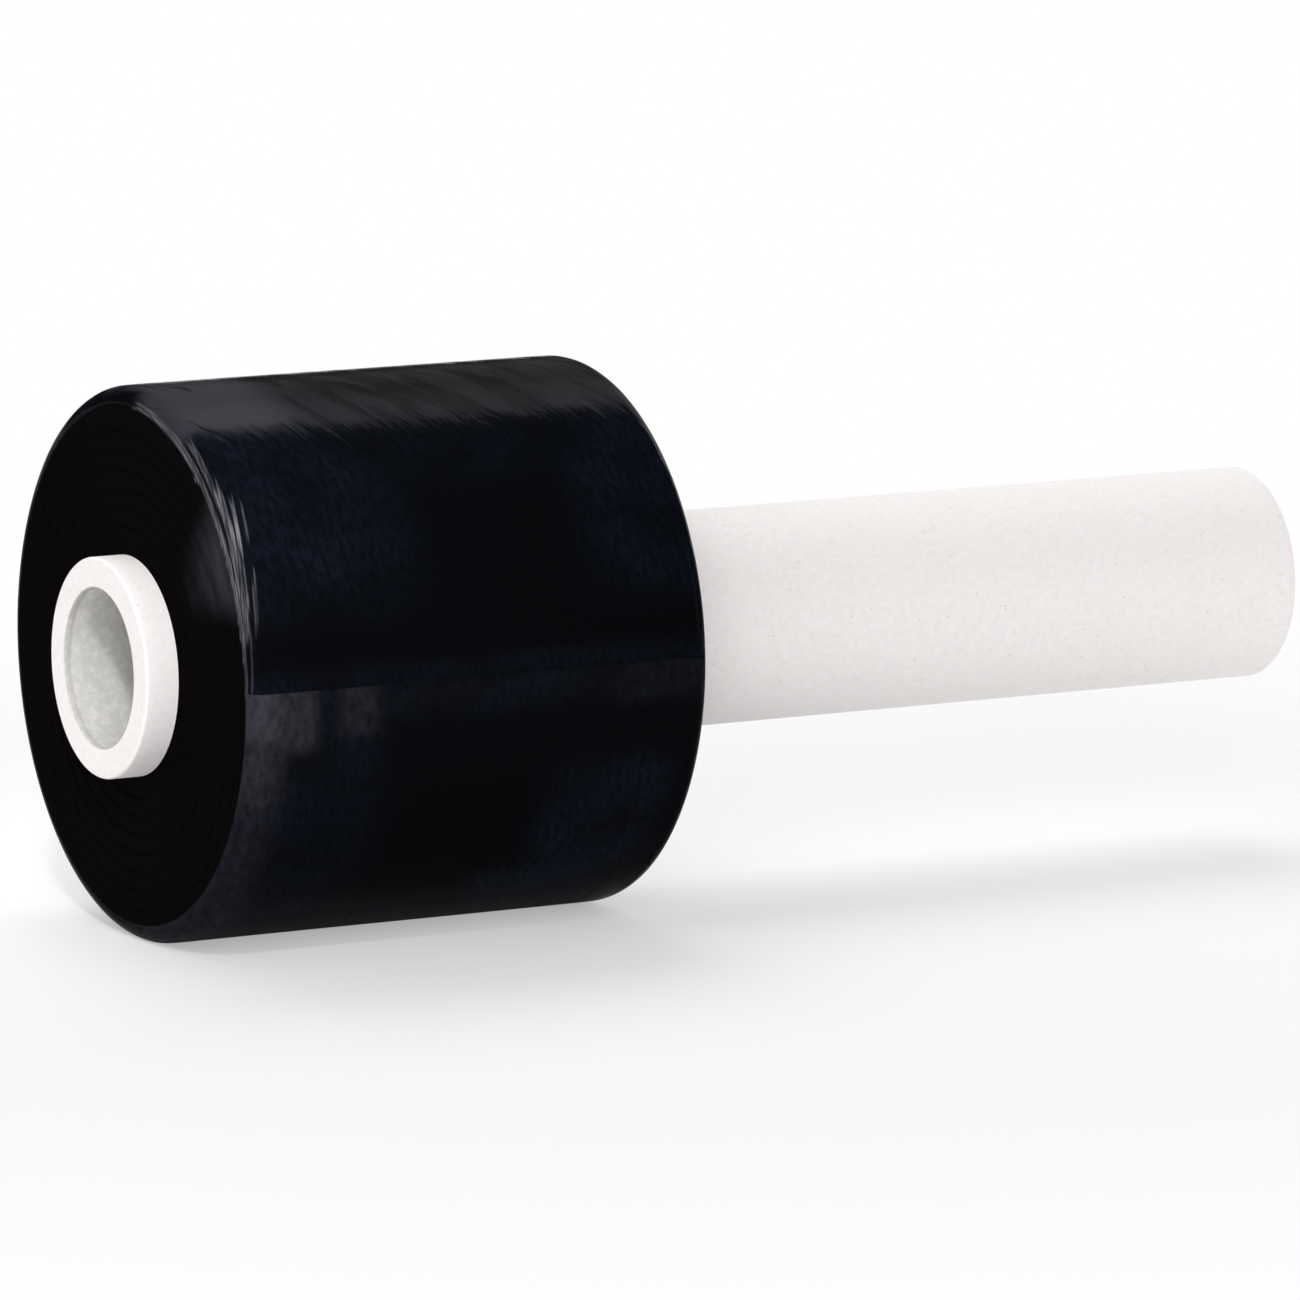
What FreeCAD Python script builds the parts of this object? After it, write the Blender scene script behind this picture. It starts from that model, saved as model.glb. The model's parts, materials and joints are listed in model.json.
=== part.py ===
import FreeCAD, Part
import math
import os
import Sketcher

# A hand roll of stretch wrap: black film wound on a paper tube that stays bare beyond the film,
# a short stub in front and a long handle behind.
# The roll lies on its side. X runs along its axis towards the handle and Z is up.
# The origin is under the middle of the roll, on the surface that it lies on.
# Each body is drawn about its own X axis, with X = 0 at the front face of the wound film.

doc = FreeCAD.newDocument("StretchWrapRoll")

# Driving dimensions in millimetres, and angles in degrees
driving_sizes = [
    ("core_bore", 25.4, "inside diameter of the paper tube"),
    ("core_wall", 4.76, "wall of the paper tube, all its plies together"),
    ("front_stub", 5.5, "bare tube in front of the film"),
    ("handle_length", 125.0, "bare tube behind the film, the hand's grip"),
    ("core_rim_bevel", 0.5, "softened outer edge at both cut ends of the tube"),
    ("core_mouth_bevel", 0.25, "softened inner edge at both cut ends of the tube"),
    ("film_diameter", 88.0, "outside diameter of the wound film"),
    ("film_width", 80.0, "width of the film, so the length of the wound part"),
    ("film_shoulder", 3.0, "rounding of the wound film's two outer edges"),
    ("tail_thickness", 0.15, "step at the free end of the film, where its last plies lie together"),
    ("tail_angle", 2.0, "place of the film's free end, above the middle of the near side"),
    ("turn_spacing", 3.0, "distance between the turns that stand out on the end faces"),
    ("turn_depth", 0.3, "depth of the line between two such turns"),
    ("turn_line_width", 0.7, "width of the line between two such turns"),
    ("turn_margin", 1.2, "plain ring left inside the first line and outside the last one"),
    ("rest_flat_width", 9.0, "width of the flat spot on which the soft roll lies"),
]

sheet = doc.addObject("Spreadsheet::Sheet", "Sizes")
for row, (alias, value, meaning) in enumerate(driving_sizes, start=1):
    sheet.set(f"A{row}", meaning)
    sheet.set(f"B{row}", str(value))
    sheet.setAlias(f"B{row}", alias)
doc.recompute()

# The formulas that several features share
core_radius = "(Sizes.core_bore / 2 + Sizes.core_wall)"
bore_radius = "(Sizes.core_bore / 2)"
film_radius = "(Sizes.film_diameter / 2)"
whole_length = "(Sizes.front_stub + Sizes.film_width + Sizes.handle_length)"
axis_height = f"sqrt({film_radius} ^ 2 - (Sizes.rest_flat_width / 2) ^ 2)"

# How far a cutting outline reaches past the solid, so that it leaves no skin
overshoot = 1.0

# A constraint names a sketch's own origin, and the two ends of an edge, by number
sketch_origin = (-1, 1)
edge_start = 1
edge_end = 2


def new_body(label):
    """A body that lies on the ground plane with its own X axis along the roll's axis."""
    body = doc.addObject("PartDesign::Body", label)
    body.Label = label
    body.setExpression(".Placement.Base.x", f"Sizes.front_stub * 1 mm - {whole_length} * 0.5 mm")
    body.setExpression(".Placement.Base.z", f"{axis_height} * 1 mm")
    return body


def new_sketch(body, plane, name):
    """A sketch on one of the body's own origin planes."""
    sketch = body.newObject("Sketcher::SketchObject", name)
    support = next(item for item in body.Origin.OriginFeatures if item.Role == plane)
    sketch.AttachmentSupport = [(support, "")]
    sketch.MapMode = "FlatFace"
    return sketch


def formula_value(formula):
    """What a formula of the sheet's dimensions gives."""
    return float(sheet.evalExpression(formula))


def formula_point(across, up):
    """The sketch point that two formulas give."""
    return FreeCAD.Vector(formula_value(across), formula_value(up), 0)


def bind(sketch, constraint_kind, targets, formula):
    """A dimension of the sketch that follows a formula."""
    constraint = Sketcher.Constraint(constraint_kind, *targets, formula_value(formula))
    number = sketch.addConstraint(constraint)
    sketch.setExpression(f"Constraints[{number}]", f"({formula}) * 1 mm")


def place_point(sketch, edge, end, corner):
    """Ties one end of an edge to its two formulas, measured from the sketch's origin."""
    bind(sketch, "DistanceX", (*sketch_origin, edge, end), corner[0])
    bind(sketch, "DistanceY", (*sketch_origin, edge, end), corner[1])


def add_polygon(sketch, corners):
    """A closed loop of straight edges, where each corner is a pair of formulas."""
    count = len(corners)
    first_edge = sketch.GeometryCount
    for place in range(count):
        start = formula_point(*corners[place])
        end = formula_point(*corners[(place + 1) % count])
        sketch.addGeometry(Part.LineSegment(start, end))
    for place in range(count):
        edge = first_edge + place
        edge_before = first_edge + (place - 1) % count
        joint = Sketcher.Constraint("Coincident", edge_before, edge_end, edge, edge_start)
        sketch.addConstraint(joint)
        place_point(sketch, edge, edge_start, corners[place])


def add_turned_solid(body, name, corners):
    """A solid turned about the axis from a section that is given by its corners."""
    section = new_sketch(body, "XZ_Plane", f"{name}Section")
    add_polygon(section, corners)
    turned = body.newObject("PartDesign::Revolution", name)
    turned.Profile = section
    turned.ReferenceAxis = (section, ["H_Axis"])
    turned.Angle = 360
    doc.recompute()
    return turned


def add_rim_chamfer(body, base, name, edge_radius, bevel):
    """Bevels the round edges of one radius."""
    wanted = formula_value(edge_radius)
    rims = [
        f"Edge{number}"
        for number, edge in enumerate(base.Shape.Edges, start=1)
        if isinstance(edge.Curve, Part.Circle) and math.isclose(edge.Curve.Radius, wanted)
    ]
    chamfer = body.newObject("PartDesign::Chamfer", name)
    chamfer.Base = (base, rims)
    chamfer.setExpression("Size", f"{bevel} * 1 mm")
    doc.recompute()
    return chamfer


def add_through_cut(body, name, corners):
    """Cuts an outline away along the whole width of the film."""
    section = new_sketch(body, "YZ_Plane", f"{name}Section")
    add_polygon(section, corners)
    cut = body.newObject("PartDesign::Pocket", name)
    cut.Profile = section
    cut.Reversed = True
    cut.setExpression("Length", "Sizes.film_width * 1 mm")
    doc.recompute()


# The paper tube: a straight wall with softened cut ends
core_tube = new_body("core_tube")
tube_front = "-Sizes.front_stub"
tube_back = "(Sizes.film_width + Sizes.handle_length)"
tube_wall = add_turned_solid(core_tube, "PaperTube", [
    (tube_front, bore_radius),
    (tube_back, bore_radius),
    (tube_back, core_radius),
    (tube_front, core_radius),
])
rims = add_rim_chamfer(core_tube, tube_wall, "SoftenedRims", core_radius, "Sizes.core_rim_bevel")
add_rim_chamfer(core_tube, rims, "SoftenedMouths", bore_radius, "Sizes.core_mouth_bevel")

# The wound film: one solid ring of turns on the tube.
# Its two outer edges are rounded by the winding, in a few flats each.
film_roll = new_body("film_roll")
shoulder_flats = 3
shoulder_steps = [90 / shoulder_flats * step for step in range(shoulder_flats + 1)]
front_shoulder = [
    (
        f"Sizes.film_shoulder * (1 - cos({angle} deg))",
        f"{film_radius} - Sizes.film_shoulder * (1 - sin({angle} deg))",
    )
    for angle in shoulder_steps
]
back_shoulder = [(f"Sizes.film_width - {across}", up) for across, up in reversed(front_shoulder)]
add_turned_solid(
    film_roll,
    "WoundFilm",
    [("Sizes.film_width", core_radius), ("0", core_radius)] + front_shoulder + back_shoulder,
)

# The turns on the two end faces: one line on each, spiralling outwards the way the film is wound
# A cutting section reaches past the end face, so its open side is wider than the line there.
half_mouth = f"Sizes.turn_line_width / 2 * (1 + {overshoot} / Sizes.turn_depth)"
first_line = f"({core_radius} + Sizes.turn_margin + Sizes.turn_line_width / 2)"
last_line = f"({film_radius} - Sizes.film_shoulder - Sizes.turn_margin - Sizes.turn_line_width / 2)"
for end_name, end_face, inward in (("Front", "0", 1), ("Back", "Sizes.film_width", -1)):
    line_sketch = new_sketch(film_roll, "XZ_Plane", f"{end_name}TurnSection")
    add_polygon(line_sketch, [
        (f"{end_face} - {inward * overshoot}", f"{first_line} - {half_mouth}"),
        (f"{end_face} + {inward} * Sizes.turn_depth", first_line),
        (f"{end_face} - {inward * overshoot}", f"{first_line} + {half_mouth}"),
    ])
    turns = film_roll.newObject("PartDesign::SubtractiveHelix", f"{end_name}Turns")
    turns.Profile = line_sketch
    turns.ReferenceAxis = (line_sketch, ["H_Axis"])
    turns.Mode = "height-turns-growth"
    turns.Height = 0
    turns.LeftHanded = True
    turns.setExpression("Growth", "Sizes.turn_spacing * 1 mm")
    turns.setExpression("Turns", f"({last_line} - {first_line}) / Sizes.turn_spacing")
    doc.recompute()

# The free end of the film, along the near side: above it the surface lies lower by the last plies.
# The cut is square to the radius there and runs upwards until it leaves the round.
tail_across = "-cos(Sizes.tail_angle * 1 deg)"
tail_up = "sin(Sizes.tail_angle * 1 deg)"


def beside_tail(outwards, upwards):
    """A sketch point by its distance from the axis through the free end, and along the surface."""
    return (
        f"({outwards}) * {tail_across} + ({upwards}) * {tail_up}",
        f"({outwards}) * {tail_up} - ({upwards}) * {tail_across}",
    )


ledge = f"({film_radius} - Sizes.tail_thickness)"
ledge_length = f"sqrt({film_radius} ^ 2 - {ledge} ^ 2)"
add_through_cut(film_roll, "FreeEnd", [
    beside_tail(ledge, "0"),
    beside_tail(f"{film_radius} + {overshoot}", "0"),
    beside_tail(f"{film_radius} + {overshoot}", f"{ledge_length} + {overshoot}"),
    beside_tail(ledge, f"{ledge_length} + {overshoot}"),
])

# The flat spot under the roll, where its own weight presses the film
add_through_cut(film_roll, "RestFlat", [
    ("-Sizes.rest_flat_width", f"-{axis_height}"),
    ("Sizes.rest_flat_width", f"-{axis_height}"),
    ("Sizes.rest_flat_width", f"-{film_radius} - {overshoot}"),
    ("-Sizes.rest_flat_width", f"-{film_radius} - {overshoot}"),
])

# Every feature has to be sound, and every cut has to take material away
for item in doc.Objects:
    if "Invalid" in item.State or "Error" in item.State:
        raise RuntimeError(f"{item.Name} failed: {item.State}")
for body in (core_tube, film_roll):
    solid_features = [item for item in body.Group if item.isDerivedFrom("PartDesign::Feature")]
    for before, after in zip(solid_features, solid_features[1:]):
        if after.Shape.Volume >= before.Shape.Volume:
            raise RuntimeError(f"{after.Name} took nothing away")
    if body.Shape.isNull() or not body.Shape.isValid() or len(body.Shape.Solids) != 1:
        raise RuntimeError(f"{body.Label} is not one sound solid")

os.makedirs("parts", exist_ok=True)
for body in (core_tube, film_roll):
    body.Shape.exportStep(f"parts/{body.Label}.step")
    print(body.Label, "volume", round(body.Shape.Volume / 1000, 2), "cm3")
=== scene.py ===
import json
import math

import bmesh
import bpy
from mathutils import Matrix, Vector, noise


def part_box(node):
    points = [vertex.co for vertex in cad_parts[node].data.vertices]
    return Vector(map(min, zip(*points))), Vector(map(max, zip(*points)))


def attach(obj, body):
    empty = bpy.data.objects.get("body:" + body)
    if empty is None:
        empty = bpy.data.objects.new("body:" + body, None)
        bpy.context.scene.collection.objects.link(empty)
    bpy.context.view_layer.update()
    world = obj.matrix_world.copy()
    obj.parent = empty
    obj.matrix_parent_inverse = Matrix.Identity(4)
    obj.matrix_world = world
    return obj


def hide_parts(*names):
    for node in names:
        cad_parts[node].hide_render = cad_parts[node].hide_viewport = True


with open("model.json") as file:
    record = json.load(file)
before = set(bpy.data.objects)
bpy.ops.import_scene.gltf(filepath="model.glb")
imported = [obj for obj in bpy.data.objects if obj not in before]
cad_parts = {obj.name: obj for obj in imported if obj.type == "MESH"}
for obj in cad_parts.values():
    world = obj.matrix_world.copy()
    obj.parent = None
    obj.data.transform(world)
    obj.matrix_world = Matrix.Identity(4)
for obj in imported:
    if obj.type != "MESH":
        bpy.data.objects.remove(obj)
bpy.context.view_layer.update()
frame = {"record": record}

# Stretch wrap roll: black film wound on a white paper tube, lying on its side.
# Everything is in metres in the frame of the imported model. X runs from the short stub to the handle's
# end, and Z is up from the surface that the roll lies on.

mm = 0.001
tau = 2 * math.pi
tolerance = 0.001 * mm

coreMount = next(item for item in frame["record"]["mounts"] if item["name"] == "core_bore")
axisHeight = coreMount["pos_m"][2]
boreRadius = coreMount["dims"]["r_mm"] * mm
tubeLow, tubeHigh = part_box("core_tube")
filmLow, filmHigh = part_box("film_roll")
tubeRadius = tubeHigh.y
filmRadius = filmHigh.y
print("frame: film radius", round(filmRadius / mm, 2), "mm, tube radius", round(tubeRadius / mm, 2), "mm")


def hexToLinear(hexColour):
    channels = [int(hexColour[place:place + 2], 16) / 255 for place in (1, 3, 5)]
    linear = [c / 12.92 if c <= 0.04045 else ((c + 0.055) / 1.055) ** 2.4 for c in channels]
    return (*linear, 1.0)


def perSize(sizeInMm):
    # how many pattern cells go into a metre, for one cell of the real size
    return 1 / (sizeInMm * mm)


def smoothStep(low, high, value):
    share = min(max((value - low) / (high - low), 0), 1)
    return share * share * (3 - 2 * share)


# Turned pieces
# Both pieces are wound, so each starts as a closed section of its wall, a list of (x, radius), and is spun
# about the roll's axis. Each point of the skin keeps three notes: how far along the section it is, its
# radius, and its turn, the angle travelled from the line where the spin starts.

def skinNotes(bm):
    layers = bm.verts.layers.float
    return {name: layers.get(name) or layers.new(name) for name in ("along", "radius", "turn")}


def putSkinPoint(vert, x, radius, angle):
    vert.co = (x, radius * math.cos(angle), axisHeight + radius * math.sin(angle))


def addSection(bm, outline, startAngle):
    # a closed loop of edges in the half plane at the start angle
    note = skinNotes(bm)
    chain = bmesh.ops.create_vert(bm)["vert"]
    edges = []
    for _ in outline[1:]:
        grown = bmesh.ops.extrude_vert_indiv(bm, verts=[chain[-1]])
        chain += grown["verts"]
        edges += grown["edges"]
    edges.append(bm.edges.new((chain[-1], chain[0])))
    travelled = 0.0
    previous = outline[0]
    for vert, (x, radius) in zip(chain, outline):
        travelled += math.dist(previous, (x, radius))
        previous = (x, radius)
        vert[note["along"]] = travelled
        vert[note["radius"]] = radius
        putSkinPoint(vert, x, radius, startAngle)
    return chain, edges


def turnSpan(edge, note):
    return abs(edge.verts[0][note["turn"]] - edge.verts[1][note["turn"]])


def spinSection(bm, outline, startAngle, turnWay, columns, gapAngle):
    # spins the section almost once round in wide columns, divides those into narrow ones on the true
    # circle, and bridges the gap that is left
    narrowPerWide = 6
    wideCount = columns // narrowPerWide
    wideAngle = (tau - gapAngle) / wideCount
    chain, edges = addSection(bm, outline, startAngle)
    spun = bmesh.ops.spin(
        bm, geom=chain + edges, cent=(0, 0, axisHeight), axis=(turnWay, 0, 0),
        angle=tau - gapAngle, steps=wideCount, use_duplicate=False, use_merge=False,
    )
    lastEdges = [item for item in spun["geom_last"] if isinstance(item, bmesh.types.BMEdge)]
    note = skinNotes(bm)
    for vert in bm.verts:
        turn = turnWay * (math.atan2(vert.co.z - axisHeight, vert.co.y) - startAngle) % tau
        vert[note["turn"]] = 0.0 if tau - turn < gapAngle / 2 else wideAngle * round(turn / wideAngle)
    roundEdges = [edge for edge in bm.edges if turnSpan(edge, note) > wideAngle / 2]
    bmesh.ops.subdivide_edges(bm, edges=roundEdges, cuts=narrowPerWide - 1)
    bridge = bmesh.ops.bridge_loops(bm, edges=edges + lastEdges)
    for vert in bm.verts:
        putSkinPoint(vert, vert.co.x, vert[note["radius"]], startAngle + turnWay * vert[note["turn"]])
    return bridge["faces"]


def spread(start, end, step):
    # evenly spaced values from start to end, both included, about one step apart
    count = max(1, round(abs(end - start) / step))
    return [start + (end - start) * place / count for place in range(count + 1)]


def finishPiece(bm, name, materials, smooth=True):
    bmesh.ops.recalc_face_normals(bm, faces=bm.faces)
    mesh = bpy.data.meshes.new(name)
    bm.to_mesh(mesh)
    bm.free()
    for material in materials:
        mesh.materials.append(material)
    piece = bpy.data.objects.new(name, mesh)
    bpy.context.scene.collection.objects.link(piece)
    for face in mesh.polygons:
        face.use_smooth = smooth
    print("piece", name, "has", sum(len(face.vertices) - 2 for face in mesh.polygons), "triangles")
    return piece


# Materials

def newMaterial(name):
    material = bpy.data.materials.new(name)
    material.use_nodes = True
    material.node_tree.nodes.clear()
    return material, material.node_tree


def addNode(tree, kind, settings=None, links=None):
    # a node with its settings, where a name that is an input sets that socket's value
    node = tree.nodes.new(kind)
    for name, value in (settings or {}).items():
        if isinstance(name, str) and hasattr(node, name):
            setattr(node, name, value)
        else:
            node.inputs[name].default_value = value
    for socket, source in (links or {}).items():
        tree.links.new(source, node.inputs[socket])
    return node


filmFinish = {
    "black": "#08090b",            # carbon black in clear polyethylene
    "navyReflection": "#10151f",             # painted bluish reflection, laid in mottled patches over the film
    "airGrey": "#38373e",          # where the outer ply stands off the roll, and also painted sheen down the front rim and painted highlight over the top
    "featherHighlightGrey": "#908f96",      # painted highlights on the raised edges of the turns along the front rim
    "roughness": 0.13,
    "specular": 0.006,             # the pale floor hardly shows in it
    "specularTint": "#cfccff",
    "ior": 1.51,
    "streakWidth": 0.8,            # mm across one stretch line round the roll
    "streakDepth": 0.012,          # mm
    "streakStretch": 30,           # a stretch says how many times as long as wide a mark is
    "rippleWidth": 0.7,            # mm across one fine ripple along the roll
    "rippleDepth": 0.012,
    "rippleStretch": 14,
    "wrinkleWidth": 5.0,           # mm across one slanted wrinkle
    "wrinkleDepth": 0.28,
    "wrinkleStretch": 4.5,
    "wrinkleSlant": 68,            # degrees between a wrinkle and the roll's axis
    "wrinkleShow": (0.5, 0.6),     # a show gives the values of a pattern between which it comes up
    "wrinkleFill": 0.22,           # a fill says how far a strong patch closes its pattern's gaps
    "grainSize": 0.9,              # mm across the crumpled grain of the painted bluish reflection
    "grainStretch": 2.5,
    "grainSlant": 80,
    "grainShow": (0.38, 0.62),
    "grainLeast": 0.25,            # the share that shows everywhere in a patch
    "airCell": 1.3,                # mm across one cell of trapped air, which also breaks up the painted rim sheen
    "airStretch": 1.6,
    "airShow": (0.3, 0.8),
    "airFill": 0.25,
    "edgeWidth": 0.28,             # mm between the painted highlights on raised turn edges, drawn coarser than the real 0.02
    "edgeStretch": 30,
    "edgeLean": 97,                # degrees between such an edge and the roll's axis
    "edgeShow": (0.42, 0.64),
    "edgeLeast": 0.12,
}


def stretchedNoise(tree, source, size, stretch, angle=0.0, detail=3.0, roughness=0.6, distortion=0.0):
    # noise with cells of a real size in mm, drawn out along a line that is turned by the angle
    turned = addNode(
        tree, "ShaderNodeMapping", {"Rotation": (0, 0, math.radians(angle))}, {"Vector": source}
    )
    drawn = addNode(
        tree, "ShaderNodeMapping", {"Scale": (1 / stretch, 1, 1)}, {"Vector": turned.outputs["Vector"]}
    )
    settings = {"Scale": perSize(size), "Detail": detail, "Roughness": roughness, "Distortion": distortion}
    return addNode(tree, "ShaderNodeTexNoise", settings, {"Vector": drawn.outputs["Vector"]}).outputs["Fac"]


def layOver(tree, under, hexColour, feature, pattern, limits, least=0.0, closing=0.0):
    # lays a colour over the one under it, as strongly as a feature of the skin says. The pattern lets it
    # through between its two limits, and closing says how far a strong feature fills the pattern's gaps.
    share = addNode(tree, "ShaderNodeAttribute", {"attribute_name": feature}).outputs["Fac"]
    filled = addNode(
        tree, "ShaderNodeMath", {"operation": "MULTIPLY_ADD", 1: closing}, {0: share, 2: pattern}
    )
    through = addNode(
        tree, "ShaderNodeMapRange", {"From Min": limits[0], "From Max": limits[1], "To Min": least},
        {"Value": filled.outputs[0]},
    )
    amount = addNode(
        tree, "ShaderNodeMath", {"operation": "MULTIPLY"}, {0: share, 1: through.outputs["Result"]}
    )
    settings = {"data_type": "RGBA", 7: hexToLinear(hexColour)}
    links = {0: amount.outputs[0]}
    if isinstance(under, str):
        settings[6] = hexToLinear(under)
    else:
        links[6] = under
    return addNode(tree, "ShaderNodeMix", settings, links).outputs[2]


def layEdgeHighlights(tree, wrap, under):
    # painted highlights on the turn edges that lie beside each other along the front rim, as a fine pale
    # pattern
    edges = stretchedNoise(
        tree, wrap, filmFinish["edgeWidth"], filmFinish["edgeStretch"],
        angle=filmFinish["edgeLean"], detail=2.0, roughness=0.7,
    )
    return layOver(
        tree, under, filmFinish["featherHighlightGrey"], "featherHighlight", edges,
        filmFinish["edgeShow"], least=filmFinish["edgeLeast"],
    )


def makeStretchFilm():
    # LLDPE stretch film, cast and wound under tension: glossy, with fine stretch lines round the roll,
    # ripples along it, and slanted wrinkles that break up the long highlight
    material, tree = newMaterial("LLDPE stretch film")
    wrap = addNode(tree, "ShaderNodeUVMap", {"uv_map": "wrap"}).outputs["UV"]
    streaks = stretchedNoise(tree, wrap, filmFinish["streakWidth"], filmFinish["streakStretch"], angle=90)
    ripples = stretchedNoise(tree, wrap, filmFinish["rippleWidth"], filmFinish["rippleStretch"], detail=2.0)
    wrinkles = stretchedNoise(
        tree, wrap, filmFinish["wrinkleWidth"], filmFinish["wrinkleStretch"],
        angle=filmFinish["wrinkleSlant"], detail=3.5, distortion=0.4,
    )
    normal = None
    for height, depth in (
        (streaks, filmFinish["streakDepth"]),
        (ripples, filmFinish["rippleDepth"]),
        (wrinkles, filmFinish["wrinkleDepth"]),
    ):
        links = {"Height": height} if normal is None else {"Height": height, "Normal": normal}
        bump = addNode(tree, "ShaderNodeBump", {"Strength": 1.0, "Distance": depth * mm}, links)
        normal = bump.outputs["Normal"]
    grain = stretchedNoise(
        tree, wrap, filmFinish["grainSize"], filmFinish["grainStretch"],
        angle=filmFinish["grainSlant"], detail=4.0,
    )
    cells = stretchedNoise(
        tree, wrap, filmFinish["airCell"], filmFinish["airStretch"], angle=90, detail=5.0, roughness=0.6
    )
    # painted bluish reflection, in mottled patches
    colour = layOver(
        tree, filmFinish["black"], filmFinish["navyReflection"], "navyReflection", grain,
        filmFinish["grainShow"], least=filmFinish["grainLeast"],
    )
    # painted highlight: a pale sheen in the highlight band and over the far side, broken up by the wrinkles
    colour = layOver(
        tree, colour, filmFinish["airGrey"], "paintedHighlight", wrinkles,
        filmFinish["wrinkleShow"], closing=filmFinish["wrinkleFill"],
    )
    # trapped air under the outer ply by the free end, and painted sheen down the front rim
    colour = layOver(
        tree, colour, filmFinish["airGrey"], "air", cells,
        filmFinish["airShow"], closing=filmFinish["airFill"],
    )
    # painted highlights on the raised turn edges along the front rim
    colour = layEdgeHighlights(tree, wrap, colour)
    shader = addNode(
        tree, "ShaderNodeBsdfPrincipled",
        {
            "Roughness": filmFinish["roughness"],
            "Specular IOR Level": filmFinish["specular"],
            "Specular Tint": hexToLinear(filmFinish["specularTint"]),
            "IOR": filmFinish["ior"],
        },
        {"Base Color": colour, "Normal": normal},
    )
    addNode(tree, "ShaderNodeOutputMaterial", None, {"Surface": shader.outputs["BSDF"]})
    return material


edgeFinish = {
    "black": "#090708",
    "sheenWedgeGrey": "#383940",         # painted sheen in a wedge on the near side of the front face
    "roughness": 0.5,
    "specular": 0.001,             # light is caught between the plies, so hardly any comes back
    "anisotropy": 0.8,
    "plyLine": 0.45,               # mm between the ply edges that are drawn, far coarser than the real 0.02
    "plyDepth": 0.05,              # mm
    "plyStrength": 0.6,
    "plyStretch": 50,
    "hazeShow": (0.35, 0.65),
    "hazeLeast": 0.55,
}


def makeTurnEdges():
    # the stacked edges of the film's turns on the end faces: concentric, so light smears across them, and
    # deep black because light is caught between the plies
    material, tree = newMaterial("Wound film edges")
    wrap = addNode(tree, "ShaderNodeUVMap", {"uv_map": "wrap"}).outputs["UV"]
    plies = stretchedNoise(
        tree, wrap, edgeFinish["plyLine"], edgeFinish["plyStretch"], angle=90, detail=2.0, roughness=0.7
    )
    bump = addNode(
        tree, "ShaderNodeBump",
        {"Strength": edgeFinish["plyStrength"], "Distance": edgeFinish["plyDepth"] * mm},
        {"Height": plies},
    )
    # a painted sheen wedge on the near side of the face, and painted highlights on the rim's turn edges
    colour = layOver(
        tree, edgeFinish["black"], edgeFinish["sheenWedgeGrey"], "sheenWedge", plies,
        edgeFinish["hazeShow"], least=edgeFinish["hazeLeast"],
    )
    colour = layEdgeHighlights(tree, wrap, colour)
    tangent = addNode(tree, "ShaderNodeTangent", {"direction_type": "UV_MAP", "uv_map": "wrap"})
    shader = addNode(
        tree, "ShaderNodeBsdfPrincipled",
        {
            "Roughness": edgeFinish["roughness"],
            "Specular IOR Level": edgeFinish["specular"],
            "Anisotropic": edgeFinish["anisotropy"],
            "IOR": filmFinish["ior"],
        },
        {"Base Color": colour, "Normal": bump.outputs["Normal"], "Tangent": tangent.outputs["Tangent"]},
    )
    addNode(tree, "ShaderNodeOutputMaterial", None, {"Surface": shader.outputs["BSDF"]})
    return material


boardFinish = {
    "white": "#f8f4f3",
    "greyFibre": "#f3eeed",
    "boreGrey": "#cccbc8",      # a greyer colour over the whole bore
    "speck": "#cbc7c3",
    "roughness": 0.78,
    "specular": 0.25,
    "ior": 1.5,
    "fibreCloud": 1.0,             # mm across a cloud of fibres
    "fibreShow": (0.3, 0.6),
    "boreCloud": 1.4,             # mm, the coarser cloud inside the bore
    "boreShow": (0.3, 0.55),
    "boreLeast": 0.55,
    "speckSize": 0.9,              # mm between places that may hold a speck of pulp
    "speckShare": 0.05,            # how many of them do
    "speckEdge": (0.2, 0.08),      # where a speck starts and where it is full, in parts of that spacing
    "fibre": 0.5,                  # mm across the felted surface
    "fibreDepth": 0.05,            # mm
    "fibreStrength": 0.5,
}


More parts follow.
